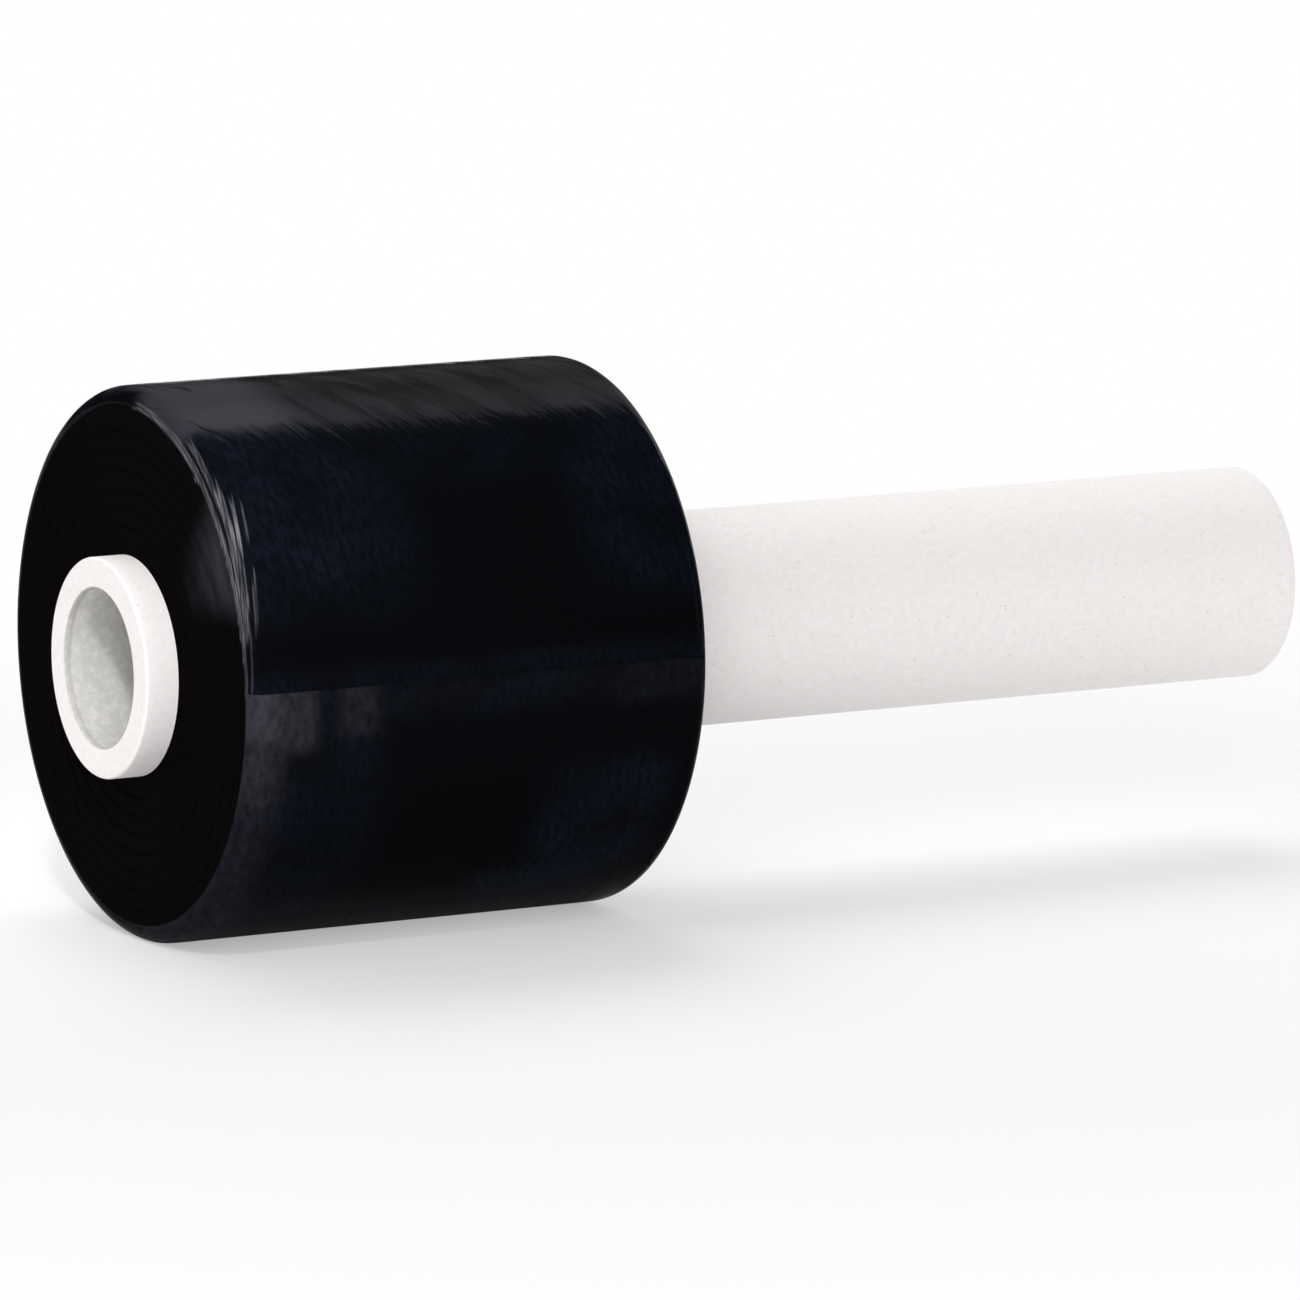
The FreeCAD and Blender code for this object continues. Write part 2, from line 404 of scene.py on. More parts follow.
def makePaperboard():
    # spiral-wound paperboard with a white liner: matte, softly mottled, with a few specks of pulp, and a
    # greyer colour over the whole bore
    material, tree = newMaterial("Spiral-wound paperboard")
    place = addNode(tree, "ShaderNodeTexCoord").outputs["Object"]
    felt = stretchedNoise(tree, place, boardFinish["fibreCloud"], 1.0, detail=5.0)
    low, high = boardFinish["fibreShow"]
    tone = addNode(tree, "ShaderNodeMapRange", {"From Min": low, "From Max": high}, {"Value": felt})
    fibreColour, whiteColour = hexToLinear(boardFinish["greyFibre"]), hexToLinear(boardFinish["white"])
    outside = addNode(
        tree, "ShaderNodeMix", {"data_type": "RGBA", 6: fibreColour, 7: whiteColour},
        {0: tone.outputs["Result"]},
    )
    cells = addNode(
        tree, "ShaderNodeTexVoronoi", {"Scale": perSize(boardFinish["speckSize"])}, {"Vector": place}
    )
    chance = addNode(tree, "ShaderNodeSeparateColor", None, {"Color": cells.outputs["Color"]})
    chosen = addNode(
        tree, "ShaderNodeMath", {"operation": "GREATER_THAN", 1: 1 - boardFinish["speckShare"]},
        {0: chance.outputs["Red"]},
    )
    start, full = boardFinish["speckEdge"]
    dot = addNode(
        tree, "ShaderNodeMapRange", {"From Min": start, "From Max": full}, {"Value": cells.outputs["Distance"]}
    )
    speck = addNode(
        tree, "ShaderNodeMath", {"operation": "MULTIPLY"}, {0: chosen.outputs[0], 1: dot.outputs["Result"]}
    )
    speckled = addNode(
        tree, "ShaderNodeMix", {"data_type": "RGBA", 7: hexToLinear(boardFinish["speck"])},
        {0: speck.outputs[0], 6: outside.outputs[2]},
    )
    coarse = stretchedNoise(tree, place, boardFinish["boreCloud"], 1.0, detail=4.0)
    colour = layOver(
        tree, speckled.outputs[2], boardFinish["boreGrey"], "inside", coarse,
        boardFinish["boreShow"], least=boardFinish["boreLeast"],
    )
    fibres = stretchedNoise(tree, place, boardFinish["fibre"], 1.0, detail=4.0, roughness=0.65)
    bump = addNode(
        tree, "ShaderNodeBump",
        {"Strength": boardFinish["fibreStrength"], "Distance": boardFinish["fibreDepth"] * mm},
        {"Height": fibres},
    )
    shader = addNode(
        tree, "ShaderNodeBsdfPrincipled",
        {
            "Roughness": boardFinish["roughness"],
            "Specular IOR Level": boardFinish["specular"],
            "IOR": boardFinish["ior"],
        },
        {"Base Color": colour, "Normal": bump.outputs["Normal"]},
    )
    addNode(tree, "ShaderNodeOutputMaterial", None, {"Surface": shader.outputs["BSDF"]})
    return material


# The wound film

filmShape = {
    "columns": 300,                # faces round the roll
    "faceRing": 0.28 * mm,         # between rings on the end faces
    "outsideRing": 1.5 * mm,       # between rings along the outside
    "rimZone": 2.4 * mm,           # finer rings beside the front shoulder
    "rimRing": 0.2 * mm,
    "shoulder": 3.0 * mm,          # rounding of the two outer edges
    "shoulderRing": 0.12 * mm,
    "tailAngle": math.radians(180 - 2),  # the free end, just above the middle of the near side
    "tailStep": 0.15 * mm,
    "tailGap": 0.06 * mm,          # width of the step at the free end
    "tailFade": 4.0 * mm,          # above the free end the surface comes back to full size
    "turnSpacing": 3.0 * mm,
    "turnDepth": 0.3 * mm,
    "turnLineWidth": 0.9 * mm,
    "turnMargin": 1.2 * mm,
    "turnCut": 0.7 * mm,
    "wave": 0.05 * mm,             # depth of the outside's slow unevenness
    "waveLength": 22 * mm,
    "waveRound": 2.2,              # about how many such waves go round the roll
    "shoulderRidge": 0.06 * mm,    # turn edges that stand out on the shoulders
    "ridgeWidth": 0.45 * mm,
    "ridgeRound": 1.4,
    "ridgeReach": 1.6,             # the ridges die out this many shoulder widths from the roll's end
    "featherRidge": 0.12 * mm,     # and the higher ones along the front rim
    "featherZone": (4.0, 7.0),     # mm past the face's edge, over which their bed comes up to the skin
    "featherFoot": (0, 6),         # degrees above the free end where the bed starts
    "featherTop": (60, 80),        # and where it ends
}


def filmOutline():
    start, end = filmLow.x, filmHigh.x
    shoulder = filmShape["shoulder"]
    inner = [(start, r) for r in spread(tubeRadius, filmRadius - shoulder, filmShape["faceRing"])]
    arcSteps = round(shoulder * math.pi / 2 / filmShape["shoulderRing"])
    angles = [math.pi / 2 * place / arcSteps for place in range(1, arcSteps)]
    front = [
        (start + shoulder * (1 - math.cos(a)), filmRadius - shoulder * (1 - math.sin(a))) for a in angles
    ]
    rimEnd = start + shoulder + filmShape["rimZone"]
    outside = [(x, filmRadius) for x in spread(start + shoulder, rimEnd, filmShape["rimRing"])]
    outside += [(x, filmRadius) for x in spread(rimEnd, end - shoulder, filmShape["outsideRing"])[1:]]
    middle = start + end
    half = inner + front
    return half + outside + [(middle - x, r) for x, r in reversed(half)]


def spiralDepth(radius, turn):
    # one line that spirals outwards as the turn grows
    first = tubeRadius + filmShape["turnMargin"] + filmShape["turnCut"] / 2
    last = filmRadius - filmShape["shoulder"] - filmShape["turnMargin"] - filmShape["turnCut"] / 2
    spacing = filmShape["turnSpacing"]
    topTurn = (filmShape["tailAngle"] - math.pi / 2) % tau
    base = first + spacing * ((turn - topTurn) / tau)
    nearest = base + spacing * round((radius - base) / spacing)
    if not first <= nearest <= last:
        return 0.0
    away = abs(radius - nearest) / (filmShape["turnLineWidth"] / 2)
    return filmShape["turnDepth"] * math.cos(min(away, 1) * math.pi / 2) ** 2


def outsideSink(x, fromEnd, side, turn):
    # how far the outside and its two shoulders lie inside the full round
    angle = filmShape["tailAngle"] - turn
    around = Vector((0, math.cos(angle), math.sin(angle)))
    shoulder = filmShape["shoulder"]
    fromShoulder = smoothStep(0, shoulder, fromEnd)
    afterTail = 1 - smoothStep(0, filmShape["tailFade"], turn * filmRadius)
    slow = noise.noise(around * filmShape["waveRound"] + Vector((x / filmShape["waveLength"], 0, 0)))
    ridgePlace = side * (fromEnd / filmShape["ridgeWidth"] + 1)
    ridge = noise.noise(around * filmShape["ridgeRound"] + Vector((ridgePlace, 0, 0)))
    sink = filmShape["tailStep"] * afterTail * fromShoulder
    sink += filmShape["wave"] * (0.5 + 0.5 * slow) * fromShoulder
    nearRim = 1 - smoothStep(shoulder, filmShape["ridgeReach"] * shoulder, fromEnd)
    return sink + filmShape["shoulderRidge"] * (0.5 + 0.5 * ridge) * nearRim


def featherBed(pastEdge, height):
    # where the skin lies lower, so that the raised turn edges of the front rim stand on it
    reach = 1 - smoothStep(*filmShape["featherZone"], pastEdge)
    risen = smoothStep(*filmShape["featherFoot"], height)
    return reach * risen * (1 - smoothStep(*filmShape["featherTop"], height))


# Where the skin's features lie: mm from the front face, and height above the middle of the near side in
# degrees, each with the width over which it fades.
# Trapped air under the outer ply by the free end; the last two patches are painted sheen down the front rim.
airAndRimSheenPatches = [
    {"level": 0.62, "x": (-1, 9.5), "xFade": 3, "height": (-8, 3), "fade": 5},         # front corner
    {"level": 0.95, "x": (-1, 2), "xFade": 9, "height": (-6, 3), "fade": 7},
    {"level": 0.4, "x": (16, 20), "xFade": 3, "height": (-5, 3), "fade": 6},
    {"level": 0.14, "x": (68, 90), "xFade": 10, "height": (-3, 3), "fade": 5},
    {"level": 0.06, "x": (-1, 90), "xFade": 1, "height": (-2, 3), "fade": 3},          # along the free end
    {"level": 0.62, "x": (-1, 2), "xFade": 7, "height": (-12, 0), "fade": 30},         # down the front rim
    {"level": 0.3, "x": (-1, 2), "xFade": 7, "height": (-85, 0), "fade": 10},
]
# Painted bluish reflection: the film's mottled blue sheen laid into its colour, patch by patch.
navyReflectionPatches = [
    {"level": 1.0, "x": (-1, 20), "xFade": 18, "height": (28, 57), "fade": 18},        # under the highlight
    {"level": 0.4, "x": (-1, 90), "xFade": 5, "height": (50, 57), "fade": 14},
    {"level": 0.8, "x": (66, 90), "xFade": 12, "height": (24, 57), "fade": 14},
    {"level": 0.55, "x": (-1, 90), "xFade": 1, "height": (-3, 3), "fade": 6},          # along the free end
    {"level": 0.7, "x": (-1, 16), "xFade": 12, "height": (-80, 0), "fade": 10},
    {"level": 1.1, "x": (57, 70), "xFade": 8, "height": (-44, -24), "fade": 10},
    {"level": 1.6, "x": (50, 66), "xFade": 7, "height": (-62, -50), "fade": 7},        # low, near the back
    {"level": 0.6, "x": (-1, 55), "xFade": 14, "height": (-90, -62), "fade": 14},
    {"level": 0.9, "x": (8, 30), "xFade": 18, "height": (118, 150), "fade": 22},       # on the far side
    {"level": 0.8, "x": (60, 90), "xFade": 16, "height": (135, 160), "fade": 16},
    {"level": 0.8, "x": (-1, 50), "xFade": 20, "height": (-165, -130), "fade": 12},
]
# Painted highlight laid into the film's colour: a pale sheen in the highlight band and over the far side.
paintedHighlightPatches = [
    {"level": 0.2, "x": (-1, 90), "xFade": 1, "height": (64, 104), "fade": 3},         # in the highlight
    {"level": 0.75, "x": (-1, 14), "xFade": 12, "height": (66, 104), "fade": 6},
    {"level": 0.2, "x": (-1, 90), "xFade": 1, "height": (97, 112), "fade": 30},        # over the far side
    {"level": 0.6, "x": (-1, 10), "xFade": 14, "height": (97, 108), "fade": 30},
    {"level": 0.16, "x": (20, 70), "xFade": 20, "height": (-150, -120), "fade": 25},
]
paintedHighlightEnd = {"height": (80, 90), "x": (0, 2.4)}  # over the top, the front shoulder stays black
navyReflectionCloud = {
    "size": 9,                     # mm across a cloud of the painted bluish reflection
    "mean": 0.85,
    "change": 0.8,
    "least": 0.4,
}

# Painted highlights on the raised turn edges along the front rim: each bundle lies between two heights and two
# places past the front face's outer edge, in mm at its lower end, and leans outwards by so many mm per degree
# of height.
featherHighlightBundles = [
    {"level": 0.8, "height": (13, 50), "past": (-0.5, 0.6), "lean": 0.0},
    {"level": 0.7, "height": (14, 31), "past": (0.6, 1.8), "lean": 0.02},
    {"level": 0.55, "height": (46, 86), "past": (-0.5, 0.7), "lean": 0.01},
    {"level": 0.38, "height": (1, 15), "past": (-0.3, 0.5), "lean": 0.0},
    {"level": 0.22, "height": (3, 16), "past": (1.3, 1.7), "lean": 0.03},
    {"level": 0.75, "height": (28, 47), "past": (1.1, 2.4), "lean": 0.03},
    {"level": 0.45, "height": (44, 62), "past": (1.3, 2.3), "lean": 0.01},
    {"level": 0.95, "height": (31, 44), "past": (2.5, 3.1), "lean": 0.09},
    {"level": 0.8, "height": (34, 42), "past": (4.4, 4.7), "lean": 0.09},
    {"level": 0.6, "height": (19, 28), "past": (1.8, 2.3), "lean": 0.06},
    {"level": 0.7, "height": (15, 23), "past": (2.7, 2.9), "lean": 0.08},
    {"level": 0.65, "height": (18, 27), "past": (3.4, 3.6), "lean": 0.08},
]
featherHighlight = {
    "sideFade": 0.15,              # mm
    "endFade": 1.2,                # degrees
    "ragged": 3.5,                 # degrees by which single edges end sooner or later than their bundle
    "edgeWidth": 0.29,             # mm across one of those edges
    "breakLength": 5.0,            # mm, how far an edge runs before it gets paler or brighter
    "breakWidth": 0.5,             # mm across one such change
    "mean": 0.75,
    "change": 0.6,
    "lowRow": 0.5,                 # rows of the noise that lie far enough apart to differ
    "highRow": 7.5,
    "speckRow": 9.1,
    "speckPast": (-1.1, -0.1),     # where painted glints sit on tiny bits of film that stick out of the face's rim
    "speckHeight": (8, 56),
    "speckSize": (0.4, 1.1),       # mm across and along the rim
    "speckRarity": 0.3,
}
sheenWedgeShape = {
    "reach": (22, 43),             # mm from the axis, over which the painted sheen comes up
    "lowest": 21,                  # degrees, at the face's outer edge
    "rise": 0.4,                   # degrees that the lower border rises for each mm inwards
    "lowFade": (-6, 5),
    "topFade": (35, 50),
    "mean": 0.9,
    "unevenness": 0.6,
    "noiseRow": 2.2,
    "cloud": (3, 7),               # mm across and degrees along one cloud of the painted sheen
}


def patchShare(patches, fromFront, height):
    strongest = 0.0
    for patch in patches:
        share = patch["level"]
        for value, limits, fade in (
            (fromFront, patch["x"], patch["xFade"]), (height, patch["height"], patch["fade"])
        ):
            share *= smoothStep(limits[0] - fade, limits[0], value)
            share *= 1 - smoothStep(limits[1], limits[1] + fade, value)
        strongest = max(strongest, share)
    return strongest


def isBetween(value, limits):
    return limits[0] < value < limits[1]


def featherHighlightShare(pastEdge, height):
    # painted highlights on the raised turn edges, with pastEdge in mm along the skin from the front face's
    # outer edge
    around = math.radians(height) * filmRadius / mm
    fade, ragged = featherHighlight["sideFade"], featherHighlight["ragged"]
    strongest = 0.0
    for number, bundle in enumerate(featherHighlightBundles):
        low, high = bundle["height"]
        place = pastEdge - bundle["lean"] * (height - low)
        inner, outer = bundle["past"]
        across = smoothStep(inner - fade, inner + fade, place)
        across *= 1 - smoothStep(outer - fade, outer + fade, place)
        if across == 0 or not low - ragged < height < high + ragged:
            continue
        edge = place / featherHighlight["edgeWidth"]
        below = height - low - ragged * noise.noise(Vector((edge, number, featherHighlight["lowRow"])))
        above = high - height + ragged * noise.noise(Vector((edge, number, featherHighlight["highRow"])))
        ends = smoothStep(-featherHighlight["endFade"], featherHighlight["endFade"], min(below, above))
        spot = Vector((place / featherHighlight["breakWidth"], around / featherHighlight["breakLength"], number))
        broken = featherHighlight["mean"] + featherHighlight["change"] * noise.noise(spot)
        strongest = max(strongest, bundle["level"] * across * ends * broken)
    if isBetween(pastEdge, featherHighlight["speckPast"]) and isBetween(height, featherHighlight["speckHeight"]):
        across, along = featherHighlight["speckSize"]
        spot = Vector((pastEdge / across, around / along, featherHighlight["speckRow"]))
        if noise.noise(spot) > featherHighlight["speckRarity"]:
            strongest = 1.0
    return min(strongest, 1.0)


def sheenWedgeShare(radius, height):
    # the painted sheen wedge on the near side of the front face
    fromAxis = radius / mm
    faceEdge = (filmRadius - filmShape["shoulder"]) / mm
    aboveLowest = height - sheenWedgeShape["lowest"] - sheenWedgeShape["rise"] * (faceEdge - fromAxis)
    across, along = sheenWedgeShape["cloud"]
    spot = Vector((fromAxis / across, height / along, sheenWedgeShape["noiseRow"]))
    cloud = sheenWedgeShape["mean"] + sheenWedgeShape["unevenness"] * noise.noise(spot)
    share = smoothStep(*sheenWedgeShape["reach"], fromAxis) * smoothStep(*sheenWedgeShape["lowFade"], aboveLowest)
    return share * (1 - smoothStep(*sheenWedgeShape["topFade"], height)) * cloud


def shapeFilm(bm):
    layers = {name: bm.verts.layers.float.new(name) for name in ("air", "navyReflection", "paintedHighlight", "featherHighlight", "sheenWedge")}
    note = skinNotes(bm)
    faceTop = filmRadius - filmShape["shoulder"]
    for vert in bm.verts:
        x, radius, turn = vert.co.x, vert[note["radius"]], vert[note["turn"]]
        fromEnd = min(x - filmLow.x, filmHigh.x - x)
        side = 1 if x - filmLow.x < filmHigh.x - x else -1
        height = 180 + math.degrees(turn - filmShape["tailAngle"] - (tau if turn > math.pi else 0))
        pastEdge = (vert[note["along"]] - faceTop + tubeRadius) / mm
        # painted highlights on the raised turn edges of the front rim
        vert[layers["featherHighlight"]] = featherHighlightShare(pastEdge, height)
        if radius < faceTop + tolerance:
            if radius > tubeRadius + tolerance:
                x += side * spiralDepth(radius, turn)
        else:
            out = Vector((min(fromEnd - filmShape["shoulder"], 0.0), radius - faceTop)).normalized()
            sink = outsideSink(x, fromEnd, side, turn)
            if side == 1:
                bed = featherBed(pastEdge, height) * (1 - vert[layers["featherHighlight"]])
                sink += filmShape["featherRidge"] * bed
            x -= side * out.x * sink
            radius -= out.y * sink
        putSkinPoint(vert, x, radius, filmShape["tailAngle"] - turn)
        vert.co.z = max(vert.co.z, 0.0)
        if side == 1 or fromEnd > tolerance:
            fromFront = (x - filmLow.x) / mm
            # trapped air by the free end, and painted sheen down the front rim
            vert[layers["air"]] = 0.0 if turn < math.pi else patchShare(airAndRimSheenPatches, fromFront, height)
            # painted bluish reflection, stronger and weaker in clouds
            around = turn * filmRadius / mm
            size = navyReflectionCloud["size"]
            cloud = noise.noise(Vector((fromFront / size, around / size, 0)))
            cloudStrength = max(navyReflectionCloud["mean"] + navyReflectionCloud["change"] * cloud, navyReflectionCloud["least"])
            vert[layers["navyReflection"]] = patchShare(navyReflectionPatches, fromFront, height) * cloudStrength
            # painted highlight, kept off the front shoulder over the top
            overTop = smoothStep(*paintedHighlightEnd["height"], height) * (1 - smoothStep(*paintedHighlightEnd["x"], fromFront))
            vert[layers["paintedHighlight"]] = patchShare(paintedHighlightPatches, fromFront, height) * (1 - overTop)
            # painted sheen wedge on the front face
            vert[layers["sheenWedge"]] = sheenWedgeShare(radius, height)


def buildFilm():
    bm = bmesh.new()
    gap = filmShape["tailGap"] / filmRadius
    spinSection(bm, filmOutline(), filmShape["tailAngle"], -1, filmShape["columns"], gap)
    wrap = bm.loops.layers.uv.new("wrap")
    note = skinNotes(bm)
    for face in bm.faces:
        overTail = max(vert[note["turn"]] for vert in face.verts) > math.pi
        for loop in face.loops:
            turn = loop.vert[note["turn"]] or (tau if overTail else 0.0)
            loop[wrap].uv = (loop.vert[note["along"]], turn * filmRadius)
        fromEnds = [min(vert.co.x - filmLow.x, filmHigh.x - vert.co.x) for vert in face.verts]
        face.material_index = 1 if max(fromEnds) < tolerance else 0
    shapeFilm(bm)
    piece = finishPiece(bm, "film_wound", [makeStretchFilm(), makeTurnEdges()])
    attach(piece, "root")
    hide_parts("film_roll")


# The paper tube

tubeShape = {
    "columns": 240,
    "ring": 1.5 * mm,              # between rings along the tube
    "boreRing": 3.0 * mm,
    "endRing": 0.2 * mm,           # between rings on the cut ends
    "rim": 0.5 * mm,               # softened outer edge of a cut end
    "mouth": 0.25 * mm,            # softened inner edge
    "lead": 105 * mm,              # the liner strip goes once round in this length
    "seamTop": 39.75 * mm,         # x at which the seam passes the top of the tube
    "seamWidth": 0.25 * mm,
    "seamDepth": 0.05 * mm,
    "creaseAt": (1.1 * mm, 1.35 * mm, 1.6 * mm),  # ring pressed into the bore behind each mouth
    "creaseDepth": 0.12 * mm,
    "boreSkin": 1.1,               # skin within this many crease depths of the bore has the bore's greyer colour
    "plyLine": 0.6 * mm,           # thickness of one ply, seen on the cut ends
    "plyDepth": 0.03 * mm,
}


def tubeOutline():
    start, end = tubeLow.x, tubeHigh.x
    rim, mouth = tubeShape["rim"], tubeShape["mouth"]
    cut = [(start, r) for r in spread(boreRadius + mouth, tubeRadius - rim, tubeShape["endRing"])]
    quarter = [math.pi / 8, math.pi / 4, math.pi * 3 / 8]
    rimArc = [
        (start + rim * (1 - math.cos(a)), tubeRadius - rim * (1 - math.sin(a))) for a in quarter
    ]
    mouthArc = [
        (start + mouth * (1 - math.sin(a)), boreRadius + mouth * (1 - math.cos(a))) for a in quarter
    ]
    half = mouthArc + cut + rimArc
    middle = start + end
    outside = [(x, tubeRadius) for x in spread(start + rim, end - rim, tubeShape["ring"])]
    before, deepest, behind = tubeShape["creaseAt"]
    crease = [(start + before, boreRadius), (start + deepest, boreRadius + tubeShape["creaseDepth"])]
    inside = [(x, boreRadius) for x in spread(end - behind, start + behind, tubeShape["boreRing"])]
    backCrease = [(middle - x, r) for x, r in crease]
    mouths = [(end - mouth, boreRadius)] + backCrease + inside + crease[::-1] + [(start + mouth, boreRadius)]
    return half + outside + [(middle - x, r) for x, r in reversed(half)] + mouths


def buildTube():
    bm = bmesh.new()
    gap = tubeShape["seamWidth"] / tubeRadius
    startAngle = math.pi / 2
    seamFaces = spinSection(bm, tubeOutline(), startAngle, 1, tubeShape["columns"], gap)
    note = skinNotes(bm)
    acrossSeam = {edge for face in seamFaces for edge in face.edges if turnSpan(edge, note) > math.pi}
    made = bmesh.ops.subdivide_edges(bm, edges=list(acrossSeam), cuts=1)
    for vert in made["geom_inner"]:
        if isinstance(vert, bmesh.types.BMVert):
            vert[note["turn"]] = tau - gap / 2
            if vert[note["radius"]] > tubeRadius - tolerance:
                vert[note["radius"]] -= tubeShape["seamDepth"]
    inside = bm.verts.layers.float.new("inside")
    for vert in bm.verts:
        x, radius, turn = vert.co.x, vert[note["radius"]], vert[note["turn"]]
        vert[inside] = 1.0 if radius < boreRadius + tubeShape["boreSkin"] * tubeShape["creaseDepth"] else 0.0
        if min(x - tubeLow.x, tubeHigh.x - x) < tolerance:
            ply = (radius - boreRadius) / tubeShape["plyLine"]
            groove = tubeShape["plyDepth"] * (0.5 - 0.5 * math.cos(tau * ply))
            x += groove if x < 0 else -groove
        twist = tau * (x - tubeShape["seamTop"]) / tubeShape["lead"]
        putSkinPoint(vert, x, radius, startAngle + turn + gap / 2 + twist)
    piece = finishPiece(bm, "paper_tube", [makePaperboard()])
    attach(piece, "root")
    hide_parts("core_tube")


print("film")
buildFilm()
print("tube")
buildTube()


# Floor, light and camera

studio = {
    "floor": "#f7f7f7",
    "floorRoughness": 0.9,
    "floorSpecular": 0.1,
    "floorSize": 12.0,             # m from the middle to a side
    "shadowEnd": 0.10,             # m from the roll's middle, from where the floor runs out to white
    "whiteFrom": 0.34,
    "shadowLift": 0.4,             # share of white that the camera sees in the shadow
    "ambient": 0.56,
    "white": (1.0, 1.0, 1.0, 1.0),
    # brightness of the softboxes by how far a direction points along Y
    "mirrored": ((0.32, 0.06), (0.39, 5.8), (0.69, 0.8), (0.86, 0.25), (0.88, 0.05)),
    "gapAt": 0.474,                # X of the middle of the gap between the front two
    "gap": (0.25, 0.35),           # where the gap ends and where they are fully bright
}


def buildFloor():
    # a matt floor that keeps the roll's shadow and runs out to plain white around it
    material, tree = newMaterial("Plain studio floor")
    place = addNode(tree, "ShaderNodeTexCoord").outputs["Object"]
    away = addNode(tree, "ShaderNodeVectorMath", {"operation": "LENGTH"}, {0: place}).outputs["Value"]
    path = addNode(tree, "ShaderNodeLightPath")
    seen = path.outputs["Is Camera Ray"]
    for kind in ("Is Glossy Ray", "Is Transmission Ray"):
        seen = addNode(
            tree, "ShaderNodeMath", {"operation": "MAXIMUM"}, {0: seen, 1: path.outputs[kind]}
        ).outputs[0]
    reach = addNode(
        tree, "ShaderNodeMapRange", {"From Min": studio["shadowEnd"], "From Max": studio["whiteFrom"]},
        {"Value": away},
    )
    far = addNode(tree, "ShaderNodeMath", {"operation": "MULTIPLY"}, {0: reach.outputs["Result"], 1: seen})
    near = addNode(
        tree, "ShaderNodeMath", {"operation": "MULTIPLY", 1: studio["shadowLift"]},
        {0: path.outputs["Is Camera Ray"]},
    )
    white = addNode(
        tree, "ShaderNodeMath", {"operation": "MAXIMUM"}, {0: far.outputs[0], 1: near.outputs[0]}
    ).outputs[0]
    shader = addNode(
        tree, "ShaderNodeBsdfPrincipled",
        {
            "Base Color": hexToLinear(studio["floor"]),
            "Roughness": studio["floorRoughness"],
            "Specular IOR Level": studio["floorSpecular"],
        },
    )
    plain = addNode(tree, "ShaderNodeEmission", {"Color": studio["white"], "Strength": 1.0})
    surface = addNode(
        tree, "ShaderNodeMixShader", None,
        {0: white, 1: shader.outputs["BSDF"], 2: plain.outputs["Emission"]},
    )
    addNode(tree, "ShaderNodeOutputMaterial", None, {"Surface": surface.outputs["Shader"]})
    bm = bmesh.new()
    bmesh.ops.create_grid(bm, x_segments=1, y_segments=1, size=studio["floorSize"])
    floor = finishPiece(bm, "studio_floor", [material], smooth=False)


def buildWorld():
    world = bpy.data.worlds.new("Studio")
    bpy.context.scene.world = world
    world.use_nodes = True
    world.cycles.sampling_method = "NONE"
    tree = world.node_tree
    tree.nodes.clear()
    path = addNode(tree, "ShaderNodeLightPath")
    direction = addNode(tree, "ShaderNodeTexCoord").outputs["Generated"]
    parts = addNode(tree, "ShaderNodeSeparateXYZ", None, {"Vector": direction})
    # softboxes that the film mirrors: a wide one behind the roll, and two in front that stand apart, with
    # the dark gap between them mirrored by the near side in the photo's view
    sideways = addNode(tree, "ShaderNodeMath", {"operation": "ABSOLUTE"}, {0: parts.outputs["Y"]})
    softboxes = addNode(tree, "ShaderNodeValToRGB", None, {"Fac": sideways.outputs[0]})
    ramp = softboxes.color_ramp
    while len(ramp.elements) < len(studio["mirrored"]):
        ramp.elements.new(1.0)
    for stop, (position, level) in zip(ramp.elements, studio["mirrored"]):
        stop.position = position
        stop.color = (level, level, level, 1)
    fromGap = addNode(
        tree, "ShaderNodeMath", {"operation": "SUBTRACT", 1: studio["gapAt"]}, {0: parts.outputs["X"]}
    )
    gapWidth = addNode(tree, "ShaderNodeMath", {"operation": "ABSOLUTE"}, {0: fromGap.outputs[0]})
    beside = addNode(
        tree, "ShaderNodeMapRange", {"From Min": studio["gap"][0], "From Max": studio["gap"][1]},
        {"Value": gapWidth.outputs[0]},
    )
    behind = addNode(
        tree, "ShaderNodeMath", {"operation": "GREATER_THAN", 1: 0.0}, {0: parts.outputs["Y"]}
    )
    lit = addNode(
        tree, "ShaderNodeMath", {"operation": "MAXIMUM"}, {0: beside.outputs["Result"], 1: behind.outputs[0]}
    )
    ambient = addNode(
        tree, "ShaderNodeBackground", {"Color": studio["white"], "Strength": studio["ambient"]}
    )
    mirrored = addNode(
        tree, "ShaderNodeBackground", None, {"Color": softboxes.outputs["Color"], "Strength": lit.outputs[0]}
    )
    seen = addNode(tree, "ShaderNodeBackground", {"Color": studio["white"], "Strength": 1.0})
    shiny = addNode(
        tree, "ShaderNodeMath", {"operation": "MAXIMUM"},
        {0: path.outputs["Is Glossy Ray"], 1: path.outputs["Is Transmission Ray"]},
    )
    inner = addNode(
        tree, "ShaderNodeMixShader", None,
        {0: shiny.outputs[0], 1: ambient.outputs[0], 2: mirrored.outputs[0]},
    )
    outer = addNode(
        tree, "ShaderNodeMixShader", None,
        {0: path.outputs["Is Camera Ray"], 1: inner.outputs[0], 2: seen.outputs[0]},
    )
    addNode(tree, "ShaderNodeOutputWorld", None, {"Surface": outer.outputs[0]})


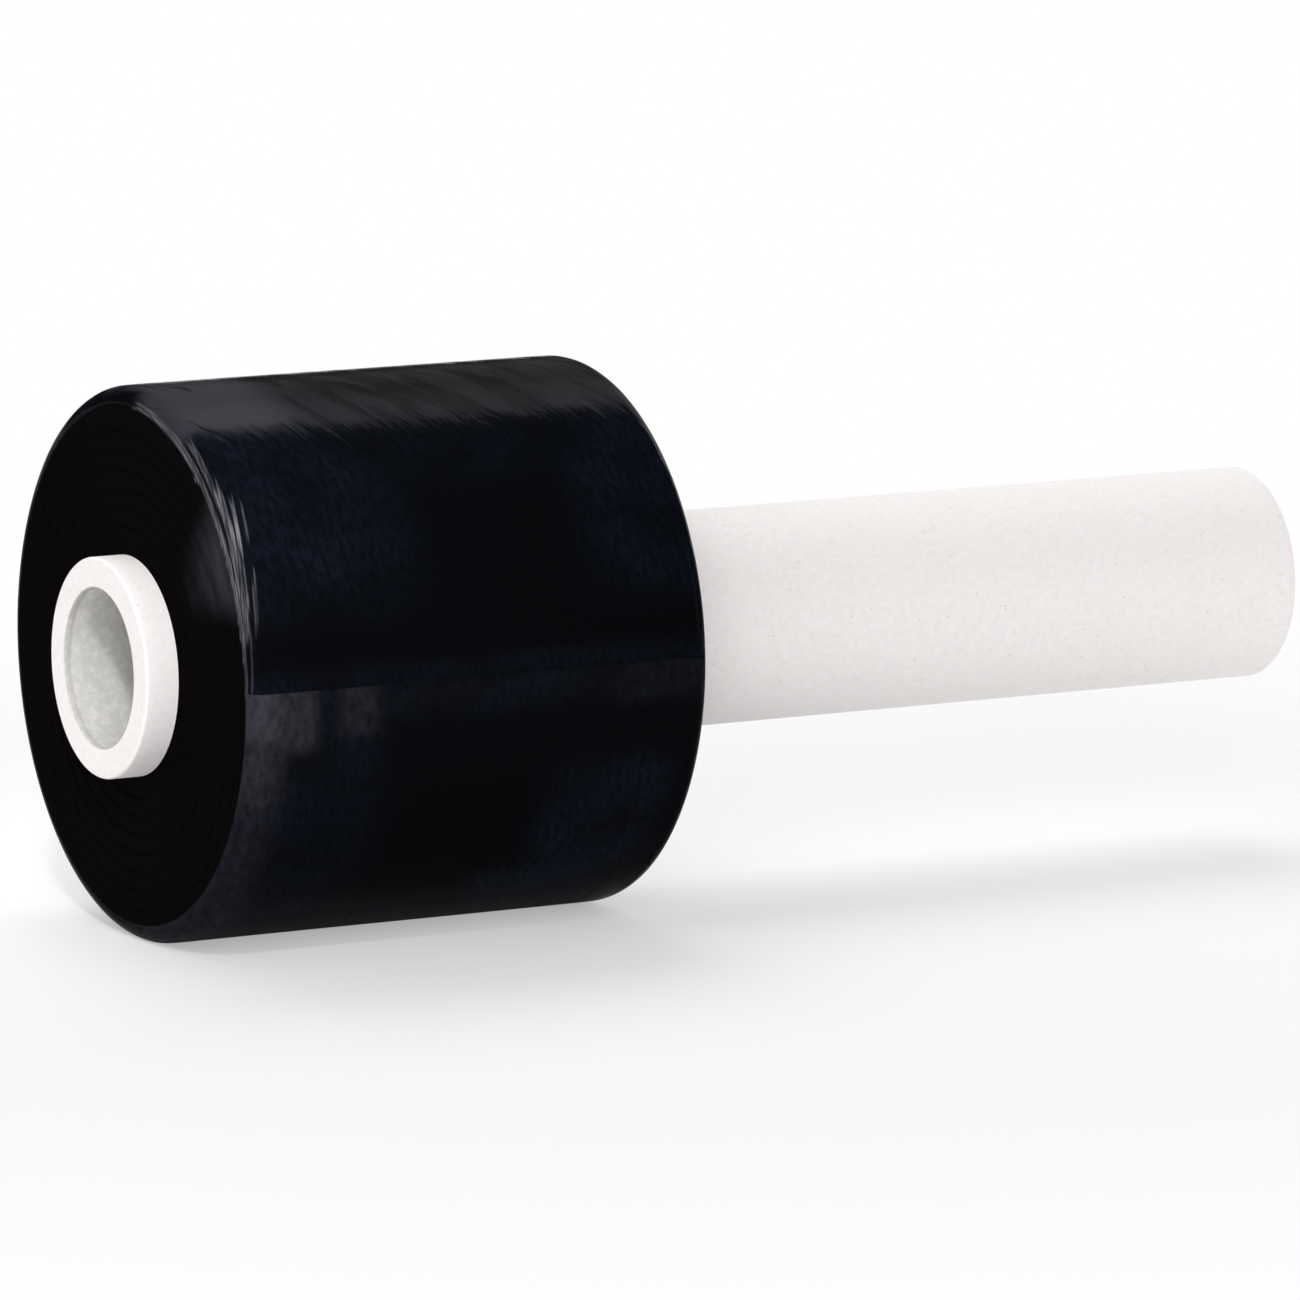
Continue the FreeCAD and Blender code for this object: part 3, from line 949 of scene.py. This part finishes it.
# Each lamp stands so many metres from the point that it is aimed at, which is on the roll's axis at x.
# The stub has a narrow one, because it stands in front of so much black.
lamps = [
    {
        "name": "Overhead softbox", "kind": "AREA", "x": 0, "from": (0.2, 0.9, 1.5 - axisHeight),
        "settings": {"shape": "DISK", "size": 1.2, "energy": 13},
    },
    {
        "name": "Front softbox", "kind": "AREA", "x": 0, "from": (-0.9, -1.6, 0.8 - axisHeight),
        "settings": {"shape": "DISK", "size": 1.0, "energy": 12},
    },
    {
        "name": "Stub lamp", "kind": "SPOT", "x": tubeLow.x, "from": (-0.35, -0.585, 0.585),
        "settings": {
            "energy": 32, "spot_size": math.radians(6.5), "spot_blend": 1.0, "shadow_soft_size": 0.06,
        },
    },
]


def addLamp(name, kind, settings, place, target):
    # lamps light the object and stay out of its reflections, which come from the world
    lamp = bpy.data.lights.new(name, kind)
    for setting, value in settings.items():
        setattr(lamp, setting, value)
    lampObject = bpy.data.objects.new(name, lamp)
    bpy.context.scene.collection.objects.link(lampObject)
    lampObject.location = place
    lampObject.rotation_euler = (target - place).to_track_quat("-Z", "Y").to_euler()
    lampObject.visible_glossy = False


def buildLamps():
    for lamp in lamps:
        target = Vector((lamp["x"], 0, axisHeight))
        addLamp(lamp["name"], lamp["kind"], lamp["settings"], target + Vector(lamp["from"]), target)


view = {
    "azimuth": -28.69,
    "elevation": 9.10,
    "distance": 1518.5 * mm,
    "right": 81.5 * mm,
    "up": 2.44 * mm,
    "lens": 268.4,
    "sensor": 36.0,
    "farthest": 60,                # m that the camera sees
}


def buildCamera():
    camera = bpy.data.cameras.new("Photo view")
    camera.lens = view["lens"]
    camera.sensor_width = view["sensor"]
    camera.clip_end = view["farthest"]
    cameraObject = bpy.data.objects.new("Photo view", camera)
    bpy.context.scene.collection.objects.link(cameraObject)
    turned = (math.radians(90 - view["elevation"]), 0, math.radians(view["azimuth"]))
    cameraObject.rotation_euler = turned
    basis = cameraObject.rotation_euler.to_matrix()
    offset = Vector((view["right"], view["up"], view["distance"]))
    cameraObject.location = Vector((filmLow.x, 0, axisHeight)) + basis @ offset
    bpy.context.scene.camera = cameraObject


print("studio")
buildFloor()
buildWorld()
buildLamps()
buildCamera()

scene = bpy.context.scene
scene.view_settings.view_transform = "Standard"
